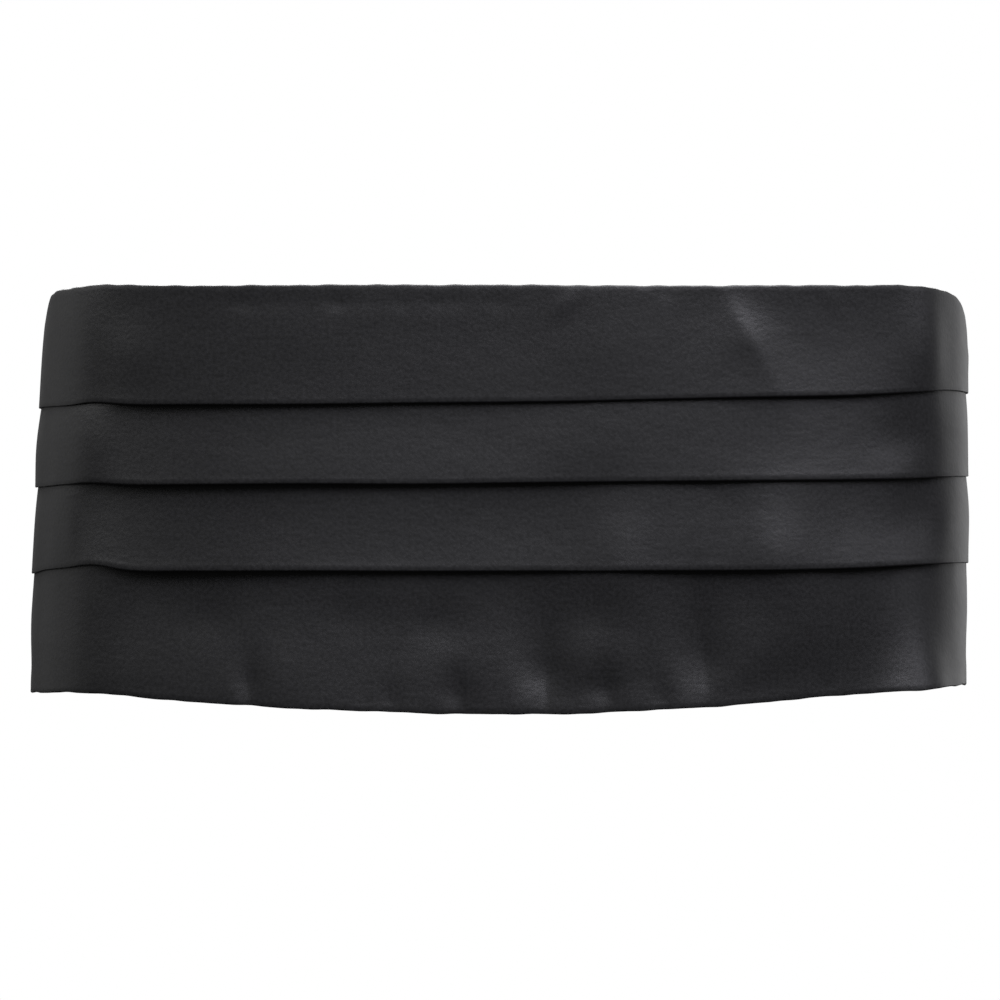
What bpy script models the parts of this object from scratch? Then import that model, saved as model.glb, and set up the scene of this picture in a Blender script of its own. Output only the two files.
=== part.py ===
"""A cummerbund as it is worn: a pleated satin face round the waist, two straps, and a hook and eye.

Metres, +Z up. The origin is the middle of the hollow where the waist goes, level with the middle of
the face. The face looks along -Y and its right end, seen from the front, is at +X.

Places on the band are given as (along, out, height): along the waist from the centre front, out from
the waist's own outline, and up from the origin.
"""

import math

import bmesh
import bpy
import numpy as np

# The waist: the outline that every layer is laid round. A squareness of 2 is an ellipse.
WAIST_HALF_BREADTH = 0.1389
WAIST_FRONT_DEPTH = 0.0920
WAIST_BACK_DEPTH = 0.0980
FRONT_SQUARENESS = 3.2
BACK_SQUARENESS = 2.5
OUTLINE_STEPS = 7200

# Cloth: the wall, the air between two pleated layers, and the clearance between sewn pieces.
WALL = 0.0010
LAYER_GAP = 0.0003
SEAM_GAP = 0.0003

# Knife pleats: how far a pleat is folded up behind its edge, and how far it gapes at the front.
UNDERLAY = 0.0080
GAPE = 0.0010
GAPE_FULL_WITHIN = 0.112
GAPE_GONE_BEYOND = 0.140
TURN_IN = 0.0100
FOLDED_SHARE = 0.36
STRIP_EASE_ABOVE_UNDERLAY = 0.0010
TOP_STRIP_STEPS = 4
STRIP_STEPS = 3
HEM_STRIP_STEPS = 4
FOLD_TURN_STEPS = 3

# The end on the viewer's left leans in towards its top edge.
LEAN = 0.045
LEAN_FROM_HEIGHT = -0.043
LEAN_STARTS = -0.110
LEAN_FULL = -0.165
LEAN_FADES = -0.230
LEAN_ENDS = -0.300

# The pleated face, a row for each section from its left end to its right end, seen from the front.
FACE_COLUMNS = ("along", "top", "fold_1", "fold_2", "fold_3", "hem")
FACE_ROWS = (
    (-0.3250, 0.0290, 0.0200, 0.0035, -0.0130, -0.0250),
    (-0.2950, 0.0340, 0.0234, 0.0036, -0.0164, -0.0365),
    (-0.2650, 0.0386, 0.0258, 0.0037, -0.0193, -0.0475),
    (-0.2350, 0.0432, 0.0274, 0.0038, -0.0214, -0.0552),
    (-0.2050, 0.0480, 0.0280, 0.0039, -0.0224, -0.0587),
    (-0.1850, 0.0514, 0.0280, 0.0039, -0.0225, -0.0590),
    (-0.1700, 0.0548, 0.0280, 0.0038, -0.0225, -0.0589),
    (-0.1600, 0.0586, 0.0280, 0.0038, -0.0223, -0.0587),
    (-0.1500, 0.0616, 0.0280, 0.0039, -0.0215, -0.0584),
    (-0.1350, 0.0630, 0.0282, 0.0045, -0.0206, -0.0579),
    (-0.1220, 0.0642, 0.0290, 0.0048, -0.0196, -0.0580),
    (-0.1120, 0.0642, 0.0283, 0.0043, -0.0212, -0.0584),
    (-0.0900, 0.0637, 0.0281, 0.0043, -0.0216, -0.0602),
    (-0.0600, 0.0637, 0.0281, 0.0045, -0.0217, -0.0619),
    (-0.0250, 0.0637, 0.0285, 0.0044, -0.0215, -0.0633),
    (0.0150, 0.0636, 0.0289, 0.0049, -0.0214, -0.0637),
    (0.0450, 0.0634, 0.0295, 0.0052, -0.0212, -0.0626),
    (0.0750, 0.0634, 0.0303, 0.0055, -0.0211, -0.0605),
    (0.1050, 0.0640, 0.0309, 0.0058, -0.0205, -0.0581),
    (0.1250, 0.0639, 0.0322, 0.0063, -0.0197, -0.0572),
    (0.1400, 0.0628, 0.0330, 0.0068, -0.0193, -0.0563),
    (0.1500, 0.0605, 0.0330, 0.0070, -0.0192, -0.0562),
    (0.1600, 0.0564, 0.0328, 0.0071, -0.0192, -0.0563),
    (0.1750, 0.0524, 0.0327, 0.0072, -0.0193, -0.0566),
    (0.2050, 0.0476, 0.0324, 0.0071, -0.0196, -0.0570),
    (0.2350, 0.0430, 0.0309, 0.0065, -0.0193, -0.0544),
    (0.2650, 0.0386, 0.0283, 0.0056, -0.0178, -0.0470),
    (0.2950, 0.0342, 0.0250, 0.0046, -0.0154, -0.0365),
    (0.3250, 0.0295, 0.0210, 0.0038, -0.0128, -0.0250),
)
FACE_STATIONS = 66
STRAIGHT_STEP = 0.0150
TURN_STEP = math.radians(7.5)

# Straps of flat webbing, each caught under the end of the face and looped round its bar.
STRAP_WIDTH = 0.0400
STRAP_THICKNESS = 0.0012
STRAP_HEIGHT = 0.0030
STRAP_UNDER_FACE = 0.0180
STRAP_RETURN = 0.0260
STRAP_RETURN_EASE = 0.0080
STRAP_STEP = 0.0080
STRAP_LOOP_STEPS = 8

# The clasp at the centre back: a wire eye on the left strap, and a wire bar with a hook on the right.
WIRE_RADIUS = 0.0010
BAR_CLEARANCE = 0.0003
HOOK_CLEARANCE = 0.0004
EYE_BARS = (-0.0125, -0.0025)
HOOK_BARS = (0.0030, 0.0125)
FRAME_INNER_HEIGHT = 0.0416
FRAME_CORNER = 0.0020
FRAME_CORNER_STEPS = 3
HOOK_WIDTH = 0.0160
HOOK_THICKNESS = 0.0010
HOOK_TURN = math.radians(200)
HOOK_TURN_STEPS = 8
HOOK_TIP = 0.0010

# Layers of the face, measured outwards from the waist to the middle of the wall.
LAYER_PITCH = WALL + LAYER_GAP
INNER_LAYER = STRAP_THICKNESS + SEAM_GAP + WALL / 2
MIDDLE_LAYER = INNER_LAYER + LAYER_PITCH
BAR_OUT = STRAP_THICKNESS + BAR_CLEARANCE + WIRE_RADIUS

# An edge that turns more than this is shaded as a crease.
SHARP_FROM = math.radians(50)

SATIN = {"name": "black_satin", "colour": (0.020, 0.020, 0.022, 1), "roughness": 0.42, "metallic": 0}
WEBBING = {"name": "black_webbing", "colour": (0.012, 0.012, 0.013, 1), "roughness": 0.8, "metallic": 0}
METAL = {"name": "plated_wire", "colour": (0.60, 0.60, 0.62, 1), "roughness": 0.25, "metallic": 1}


def clear_scene():
    """Remove whatever the new file holds."""
    for found in list(bpy.data.objects):
        bpy.data.objects.remove(found, do_unlink=True)


def new_collection(name):
    """A collection in the scene."""
    collection = bpy.data.collections.new(name)
    bpy.context.scene.collection.children.link(collection)
    return collection


def new_material(finish):
    """A Principled material for one finish."""
    material = bpy.data.materials.new(finish["name"])
    material.use_nodes = True
    shader = material.node_tree.nodes["Principled BSDF"]
    shader.inputs["Base Color"].default_value = finish["colour"]
    shader.inputs["Roughness"].default_value = finish["roughness"]
    shader.inputs["Metallic"].default_value = finish["metallic"]
    return material


def ease(value, start, end):
    """0 before start and 1 after end, with a smooth rise between."""
    share = np.clip((value - start) / (end - start), 0.0, 1.0)
    return share * share * (3.0 - 2.0 * share)


# --- The waist -------------------------------------------------------------------------------


def waist_outline():
    """The waist as (along, turned, points, normals), where turned is the angle it has turned through."""
    angle = np.linspace(-math.pi, math.pi, OUTLINE_STEPS + 1)
    across = np.abs(np.sin(angle)) / WAIST_HALF_BREADTH
    front = np.cos(angle) > 0
    depth = np.where(front, WAIST_FRONT_DEPTH, WAIST_BACK_DEPTH)
    power = np.where(front, FRONT_SQUARENESS, BACK_SQUARENESS)
    radius = (across**power + (np.abs(np.cos(angle)) / depth) ** power) ** (-1 / power)
    points = np.stack([radius * np.sin(angle), -radius * np.cos(angle)], axis=1)
    steps = np.linalg.norm(np.diff(points, axis=0), axis=1)
    along = np.concatenate([[0.0], np.cumsum(steps)])
    along -= along[-1] / 2
    tangent = np.gradient(points, along, axis=0)
    tangent /= np.linalg.norm(tangent, axis=1)[:, None]
    normals = np.stack([tangent[:, 1], -tangent[:, 0]], axis=1)
    turned = np.unwrap(np.arctan2(tangent[:, 1], tangent[:, 0]))
    return along, turned, points, normals


ALONG, TURNED, OUTLINE, NORMALS = waist_outline()
CENTRE_BACK = ALONG[-1]


def on_waist(along, out, height):
    """The point at a place on the band."""
    x, y = (np.interp(along, ALONG, OUTLINE[:, axis]) for axis in (0, 1))
    across, back = (np.interp(along, ALONG, NORMALS[:, axis]) for axis in (0, 1))
    return (x + out * across, y + out * back, height)


# --- The pleated face ------------------------------------------------------------------------


def face_heights(along):
    """The heights of the face's edges and folds at a place, on smooth curves through the table."""
    rows = np.array(FACE_ROWS)
    places = rows[:, FACE_COLUMNS.index("along")]
    after = int(np.clip(np.searchsorted(places, along), 1, len(places) - 1))
    step = places[after] - places[after - 1]
    share = (along - places[after - 1]) / step
    heights = {}
    for column, name in enumerate(FACE_COLUMNS[1:], start=1):
        slopes = np.gradient(rows[:, column], places) * step
        low, high = rows[after - 1, column], rows[after, column]
        rise = high - low
        bend = (slopes[after - 1] - rise) * (1 - share) - (slopes[after] - rise) * share
        heights[name] = low + rise * share + share * (1 - share) * bend
    return heights


def strip(start, end, steps):
    """Points down one strip of cloth, easing from the layer it starts in to the one it ends in."""
    points = []
    for step in range(steps + 1):
        share = step / steps
        out = start[0] + (end[0] - start[0]) * ease(share, 0.0, 1.0)
        points.append((out, start[1] + (end[1] - start[1]) * share))
    return points


def fold_turn(out, height, way):
    """The wall's turn round a folded edge: in and up for way 1, or in and down for way -1."""
    radius = LAYER_PITCH / 2
    level = height + way * (WALL / 2 + radius)
    points = []
    for step in range(FOLD_TURN_STEPS + 1):
        turn = math.pi * step / FOLD_TURN_STEPS
        points.append((out - radius + radius * math.cos(turn), level - way * radius * math.sin(turn)))
    return points


def face_section(along):
    """The middle of the wall from the top's turned-in edge to the hem's, as (out, height)."""
    heights = face_heights(along)
    folds = [heights["fold_1"], heights["fold_2"], heights["fold_3"]]
    edges = [heights["top"], *folds, heights["hem"]]
    drops = [upper - lower for upper, lower in zip(edges, edges[1:])]
    underlay = min(UNDERLAY, FOLDED_SHARE * min(drops))
    gape = GAPE * (1.0 - ease(abs(along), GAPE_FULL_WITHIN, GAPE_GONE_BEYOND))
    outer = MIDDLE_LAYER + LAYER_PITCH + gape

    top_turn_in = min(TURN_IN, FOLDED_SHARE * drops[0])
    points = [(INNER_LAYER, heights["top"] - top_turn_in)]
    points += reversed(fold_turn(MIDDLE_LAYER, heights["top"], -1))
    start, steps = points.pop(), TOP_STRIP_STEPS
    for fold in folds:
        flat_from = fold + underlay + STRIP_EASE_ABOVE_UNDERLAY
        points += strip(start, (outer, flat_from), steps)
        points += fold_turn(outer, fold, 1)
        points.append((MIDDLE_LAYER, fold + underlay))
        points.append((INNER_LAYER, fold + underlay))
        start, steps = (INNER_LAYER, fold), STRIP_STEPS
    hem_turn_in = min(TURN_IN, FOLDED_SHARE * drops[-1])
    hem_flat_from = heights["hem"] + hem_turn_in + STRIP_EASE_ABOVE_UNDERLAY
    points += strip(start, (MIDDLE_LAYER, hem_flat_from), HEM_STRIP_STEPS)
    points += fold_turn(MIDDLE_LAYER, heights["hem"], 1)
    points.append((INNER_LAYER, heights["hem"] + hem_turn_in))
    return points


def lean_in(along, height):
    """How far the left end leans in towards the waist at a height."""
    share = ease(-along, -LEAN_STARTS, -LEAN_FULL) * (1.0 - ease(-along, -LEAN_FADES, -LEAN_ENDS))
    return share * LEAN * max(0.0, height - LEAN_FROM_HEIGHT)


def face_stations():
    """Places of the sections: closer together where the waist turns."""
    start, end = FACE_ROWS[0][0], FACE_ROWS[-1][0]
    on_face = (ALONG >= start) & (ALONG <= end)
    places, turned = ALONG[on_face], TURNED[on_face]
    measure = (places - places[0]) / STRAIGHT_STEP + (turned - turned[0]) / TURN_STEP
    inner = np.interp(np.linspace(measure[0], measure[-1], FACE_STATIONS), measure, places)
    return [start, *inner[1:-1], end]


def open_surface(name, rows):
    """A mesh of quads through rows of points."""
    shape = bmesh.new()
    grid = [[shape.verts.new(point) for point in row] for row in rows]
    for row, next_row in zip(grid, grid[1:]):
        for index in range(len(row) - 1):
            shape.faces.new((row[index], row[index + 1], next_row[index + 1], next_row[index]))
    mesh = bpy.data.meshes.new(name)
    shape.to_mesh(mesh)
    shape.free()
    return mesh


def add_wall(piece, thickness):
    """Give an open surface its thickness, half on each side."""
    wall = piece.modifiers.new("wall", "SOLIDIFY")
    wall.thickness = thickness
    wall.offset = 0.0
    wall.use_even_offset = True
    wall.use_quality_normals = True


def new_piece(name, mesh, material, collection):
    """An object for a mesh, shaded smooth but for its folds."""
    mesh.materials.append(material)
    mesh.shade_smooth()
    mesh.set_sharp_from_angle(angle=SHARP_FROM)
    piece = bpy.data.objects.new(name, mesh)
    collection.objects.link(piece)
    return piece


def build_face(material, collection):
    """The pleated face: one wall of satin, folded into three pleats and turned in at both edges."""
    rows = []
    for along in face_stations():
        row = []
        for out, height in face_section(along):
            row.append(on_waist(along, out - lean_in(along, height), height))
        rows.append(row)
    piece = new_piece("pleated_face", open_surface("pleated_face", rows), material, collection)
    add_wall(piece, WALL)


# --- The straps ------------------------------------------------------------------------------


def strap_path(bar):
    """The strap's middle as (along, out), from under the face round its bar and back on itself."""
    flat = STRAP_THICKNESS / 2
    start = FACE_ROWS[-1][0] - STRAP_UNDER_FACE
    bar_along = CENTRE_BACK - abs(bar)
    steps = math.ceil((bar_along - start) / STRAP_STEP)
    path = [(start + (bar_along - start) * step / steps, flat) for step in range(steps)]
    radius = BAR_OUT - flat
    for step in range(STRAP_LOOP_STEPS + 1):
        turn = math.pi * step / STRAP_LOOP_STEPS
        path.append((bar_along + radius * math.sin(turn), BAR_OUT - radius * math.cos(turn)))
    lying = flat + STRAP_THICKNESS + SEAM_GAP
    path.append((bar_along - STRAP_RETURN_EASE / 2, (BAR_OUT + radius + lying) / 2))
    path.append((bar_along - STRAP_RETURN_EASE, lying))
    path.append((bar_along - STRAP_RETURN_EASE - (STRAP_RETURN - STRAP_RETURN_EASE) / 2, lying))
    path.append((bar_along - STRAP_RETURN, lying))
    return path


def build_strap(name, side, bar, material, collection):
    """One strap. The side is -1 for the left and 1 for the right, seen from the front."""
    low = STRAP_HEIGHT - STRAP_WIDTH / 2
    high = STRAP_HEIGHT + STRAP_WIDTH / 2
    rows = []
    for along, out in strap_path(bar):
        rows.append([on_waist(side * along, out, height) for height in (low, high)])
    piece = new_piece(name, open_surface(name, rows), material, collection)
    add_wall(piece, STRAP_THICKNESS)


# --- The clasp -------------------------------------------------------------------------------


def clasp_point(across, out, height):
    """A point of the flat clasp, measured from the centre back."""
    return (across, WAIST_BACK_DEPTH + out, STRAP_HEIGHT + height)


def build_frame(name, bars, material, collection):
    """A rectangular wire frame whose two upright bars are at the given places."""
    left, right = bars
    half = FRAME_INNER_HEIGHT / 2 + WIRE_RADIUS
    corners = ((right, half, 0), (left, half, 1), (left, -half, 2), (right, -half, 3))
    points = []
    for across, height, quarter in corners:
        middle_across = across - math.copysign(FRAME_CORNER, across - (left + right) / 2)
        middle_height = height - math.copysign(FRAME_CORNER, height)
        for step in range(FRAME_CORNER_STEPS + 1):
            turn = (quarter + step / FRAME_CORNER_STEPS) * math.pi / 2
            offset = (FRAME_CORNER * math.cos(turn), FRAME_CORNER * math.sin(turn))
            points.append(clasp_point(middle_across + offset[0], BAR_OUT, middle_height + offset[1]))
    curve = bpy.data.curves.new(name, "CURVE")
    curve.dimensions = "3D"
    curve.bevel_depth = WIRE_RADIUS
    curve.bevel_resolution = 2
    spline = curve.splines.new("POLY")
    spline.points.add(len(points) - 1)
    for point, place in zip(spline.points, points):
        point.co = (*place, 1.0)
    spline.use_cyclic_u = True
    bent = bpy.data.objects.new(name, curve)
    collection.objects.link(bent)
    mesh = bpy.data.meshes.new_from_object(bent.evaluated_get(bpy.context.evaluated_depsgraph_get()))
    bpy.data.objects.remove(bent, do_unlink=True)
    mesh.materials.clear()
    return new_piece(name, mesh, material, collection)


def build_hook_tongue(material, collection):
    """The flat tongue that leaves the hook's bar, passes outside the eye's bar and curls round it."""
    eye_bar, hook_bar = EYE_BARS[1], HOOK_BARS[0]
    radius = WIRE_RADIUS + HOOK_CLEARANCE + HOOK_THICKNESS / 2
    path = [(hook_bar, BAR_OUT), (hook_bar - WIRE_RADIUS, BAR_OUT + WIRE_RADIUS)]
    path.append(((eye_bar + hook_bar) / 2, BAR_OUT + radius))
    for step in range(HOOK_TURN_STEPS + 1):
        turn = HOOK_TURN * step / HOOK_TURN_STEPS
        path.append((eye_bar - radius * math.sin(turn), BAR_OUT + radius * math.cos(turn)))
    last_across, last_out = path[-1]
    tip_turn = HOOK_TURN - math.pi
    path.append((last_across + HOOK_TIP * math.cos(tip_turn), last_out + HOOK_TIP * math.sin(tip_turn)))
    rows = []
    for across, out in path:
        rows.append([clasp_point(across, out, height) for height in (-HOOK_WIDTH / 2, HOOK_WIDTH / 2)])
    tongue = new_piece("hook_tongue", open_surface("hook_tongue", rows), material, collection)
    add_wall(tongue, HOOK_THICKNESS)
    tongue.hide_render = True
    tongue.display_type = "WIRE"
    return tongue


def build_clasp(material, collection, cutters):
    """The eye, and the hook fastened in it."""
    build_frame("clasp_eye", EYE_BARS, material, collection)
    hook = build_frame("clasp_hook", HOOK_BARS, material, collection)
    joined = hook.modifiers.new("tongue", "BOOLEAN")
    joined.operation = "UNION"
    joined.object = build_hook_tongue(material, cutters)


def main():
    clear_scene()
    parts = new_collection("cummerbund")
    cutters = new_collection("cutters")
    build_face(new_material(SATIN), parts)
    webbing = new_material(WEBBING)
    build_strap("strap_left", -1, EYE_BARS[0], webbing, parts)
    build_strap("strap_right", 1, HOOK_BARS[1], webbing, parts)
    build_clasp(new_material(METAL), parts, cutters)


main()
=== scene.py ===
# %% [markdown]
# # A black satin cummerbund
# A cummerbund is a broad pleated sash that stands round the waist under a dinner jacket. Its face is one
# length of satin with three knife pleats pressed along it, so four strips show, each one springing over the
# next. Two straps of webbing and a wire hook and eye close it at the back.
#
# This lesson dresses a plain solid model of it. The solids give the places and the sizes, and each piece made
# here lies on the form of the solid that it stands for. Lengths are in metres. A table is in millimetres
# where its heading says so.

# %% Load the solid model
import math

import bpy
import numpy as np
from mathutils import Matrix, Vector, noise


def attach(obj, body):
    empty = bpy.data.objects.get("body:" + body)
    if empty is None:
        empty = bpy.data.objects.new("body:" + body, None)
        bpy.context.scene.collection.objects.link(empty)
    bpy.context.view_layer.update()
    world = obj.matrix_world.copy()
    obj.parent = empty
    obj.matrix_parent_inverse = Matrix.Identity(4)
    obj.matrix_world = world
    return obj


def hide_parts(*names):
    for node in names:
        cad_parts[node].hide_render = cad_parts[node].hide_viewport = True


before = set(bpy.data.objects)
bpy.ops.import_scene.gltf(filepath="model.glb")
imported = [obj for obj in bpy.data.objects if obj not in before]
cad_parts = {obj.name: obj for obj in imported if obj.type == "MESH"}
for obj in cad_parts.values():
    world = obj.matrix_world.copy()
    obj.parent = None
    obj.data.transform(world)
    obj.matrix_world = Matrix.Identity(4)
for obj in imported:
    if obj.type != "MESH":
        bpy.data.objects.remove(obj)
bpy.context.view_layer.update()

BODY = "root"
MM = 0.001
print("solids:", ", ".join(sorted(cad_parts)))

# %% [markdown]
# ## The waist
# Everything is laid round one closed line, the waist. A rounded box suits it better than an ellipse: it is
# flatter over the front and turns faster at the sides, which is where the satin catches the light. The line
# is a superellipse, and a place on the band is written as (along, out, height): along the waist from the
# centre front, out from the waist, and up. Thinking in those terms keeps every later step short.

# %% The waist line and places on it
WAIST_HALF_BREADTH = 0.1389
WAIST_FRONT_DEPTH = 0.0920
WAIST_BACK_DEPTH = 0.0980
FRONT_SQUARENESS = 3.2
BACK_SQUARENESS = 2.5
OUTLINE_STEPS = 7200


def lengths_along(points):
    """The length of a line up to each of its points."""
    return np.concatenate([[0.0], np.cumsum(np.linalg.norm(np.diff(points, axis=0), axis=1))])


def waist_outline():
    """The waist as (along, points, normals), starting and ending at the centre back."""
    angle = np.linspace(-math.pi, math.pi, OUTLINE_STEPS + 1)
    front = np.cos(angle) > 0
    depth = np.where(front, WAIST_FRONT_DEPTH, WAIST_BACK_DEPTH)
    power = np.where(front, FRONT_SQUARENESS, BACK_SQUARENESS)
    across = np.abs(np.sin(angle)) / WAIST_HALF_BREADTH
    radius = (across**power + (np.abs(np.cos(angle)) / depth) ** power) ** (-1 / power)
    points = np.stack([radius * np.sin(angle), -radius * np.cos(angle)], axis=1)
    along = lengths_along(points)
    along -= along[-1] / 2
    tangent = np.gradient(points, along, axis=0)
    tangent /= np.linalg.norm(tangent, axis=1)[:, None]
    return along, points, np.stack([tangent[:, 1], -tangent[:, 0]], axis=1)


ALONG, OUTLINE, NORMALS = waist_outline()
CENTRE_BACK = ALONG[-1]


def on_waist(along, out, height):
    """The points at places on the band, as an array whose last axis is x, y, z."""
    along, out, height = np.broadcast_arrays(along, out, height)
    flat = [np.interp(along, ALONG, OUTLINE[:, axis]) + out * np.interp(along, ALONG, NORMALS[:, axis])
            for axis in (0, 1)]
    return np.stack([*flat, height], axis=-1)


def ease(value, start, end):
    """0 before start and 1 after end, with a smooth rise between."""
    share = np.clip((value - start) / (end - start), 0.0, 1.0)
    return share * share * (3.0 - 2.0 * share)


print("round the waist, mm:", round(2 * CENTRE_BACK / MM))

# %% [markdown]
# ## The heights of the pleats
# On the real sash the edges aren't straight: the hem dips at the centre front, the folds climb a little to
# the right, and everything draws together towards the straps. A short table says how high each edge and fold
# is at some places along the band. A smooth curve through each column gives the heights between. The rows for
# the sides and the back are guesses, because the photograph shows the front alone.

# %% Edges and folds, in millimetres
# Along, then the heights of the top edge, the three folds and the hem.
HEIGHT_ROWS = (
    (-325, 29.0, 20.0, 3.5, -13.0, -25.0),
    (-295, 34.0, 23.4, 3.6, -16.4, -36.5),
    (-265, 38.6, 25.8, 3.7, -19.3, -47.5),
    (-235, 43.2, 27.4, 3.8, -21.4, -55.2),
    (-205, 48.0, 28.0, 3.9, -22.4, -58.7),
    (-185, 51.4, 28.0, 3.9, -22.5, -59.0),
    (-170, 54.8, 28.0, 3.8, -22.5, -58.9),
    (-160, 60.8, 28.2, 3.9, -22.2, -58.7),
    (-150, 63.2, 28.2, 4.0, -21.4, -58.4),
    (-135, 63.9, 28.4, 4.6, -20.5, -57.9),
    (-122, 64.6, 29.2, 5.0, -19.5, -58.1),
    (-112, 64.4, 28.5, 4.5, -21.0, -58.5),
    (-90, 63.9, 28.3, 4.5, -21.3, -60.2),
    (-60, 64.0, 28.3, 4.7, -21.2, -61.9),
    (-25, 64.0, 28.7, 4.6, -21.3, -63.2),
    (15, 63.9, 29.1, 5.1, -21.2, -63.6),
    (45, 63.7, 29.8, 5.4, -21.1, -62.5),
    (75, 63.9, 30.5, 5.7, -21.0, -60.6),
    (105, 64.2, 31.2, 6.0, -20.4, -58.1),
    (125, 64.4, 32.3, 6.4, -19.6, -57.2),
    (140, 63.4, 33.1, 6.9, -19.2, -56.3),
    (150, 62.2, 33.1, 7.1, -19.1, -56.2),
    (160, 59.0, 32.9, 7.1, -19.1, -56.3),
    (175, 52.4, 32.7, 7.2, -19.3, -56.6),
    (205, 47.6, 32.4, 7.1, -19.6, -57.0),
    (235, 43.0, 30.9, 6.5, -19.3, -54.4),
    (265, 38.6, 28.3, 5.6, -17.8, -47.0),
    (295, 34.2, 25.0, 4.6, -15.4, -36.5),
    (325, 29.5, 21.0, 3.8, -12.8, -25.0),
)


def curves_through(rows):
    """A function that gives the table's columns at any place, on smooth curves through its rows."""
    rows = np.array(rows, float) * MM
    places, columns = rows[:, 0], rows[:, 1:]
    slopes = np.gradient(columns, places, axis=0)

    def at(along):
        along = np.atleast_1d(along)
        after = np.clip(np.searchsorted(places, along), 1, len(places) - 1)
        step = (places[after] - places[after - 1])[:, None]
        share = (along - places[after - 1])[:, None] / step
        low, high = columns[after - 1], columns[after]
        rise = high - low
        bend = (slopes[after - 1] * step - rise) * (1 - share) - (slopes[after] * step - rise) * share
        return low + rise * share + share * (1 - share) * bend

    return at


heights_at = curves_through(HEIGHT_ROWS)
FACE_START, FACE_END = HEIGHT_ROWS[0][0] * MM, HEIGHT_ROWS[-1][0] * MM
print("heights at the centre front, mm:", np.round(heights_at(0.0)[0] / MM, 1))

# %% [markdown]
# ## How far each fold springs open
# A pleat that is pressed flat leaves a thin line. Where the cloth relaxes, the fold stands off the strip
# below and throws a soft, dark shadow. The photographed sash does both: tight at its two ends, open over the
# front, and never by the same amount twice. So the opening of each fold is a table too.

# %% Openings of the folds, in millimetres
# Along, then how far each of the three folds stands open.
OPENING_ROWS = (
    (-325, 0.0, 0.0, 0.0),
    (-270, 0.1, 0.4, 0.1),
    (-225, 0.3, 0.2, 0.5),
    (-185, 0.1, 0.3, 0.2),
    (-150, 0.0, 0.0, 0.0),
    (-135, 0.1, 0.1, 0.1),
    (-128, 0.2, 0.9, 0.2),
    (-120, 0.6, 1.6, 0.5),
    (-112, 1.2, 1.9, 1.7),
    (-75, 1.3, 2.0, 1.9),
    (-45, 1.2, 1.9, 1.6),
    (-15, 1.0, 1.7, 1.5),
    (15, 0.9, 1.7, 1.0),
    (30, 0.7, 1.2, 0.4),
    (45, 0.7, 1.0, 1.4),
    (60, 0.8, 1.6, 1.7),
    (75, 1.1, 0.9, 1.9),
    (90, 1.5, 0.8, 1.6),
    (105, 1.7, 1.1, 2.4),
    (115, 1.6, 1.3, 2.7),
    (123, 1.0, 1.5, 2.4),
    (130, 0.5, 1.5, 1.6),
    (137, 0.1, 0.8, 0.9),
    (144, 0.0, 0.3, 0.4),
    (150, 0.0, 0.0, 0.0),
    (190, 0.2, 0.3, 0.1),
    (230, 0.4, 0.1, 0.3),
    (275, 0.1, 0.2, 0.3),
    (325, 0.0, 0.0, 0.0),
)
openings_between = curves_through(OPENING_ROWS)


def openings_at(along):
    """How far the three folds stand open at some places."""
    return np.maximum(openings_between(along), 0.0)


print("openings at the centre front, mm:", np.round(openings_at(0.0)[0] / MM, 2))
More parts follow.
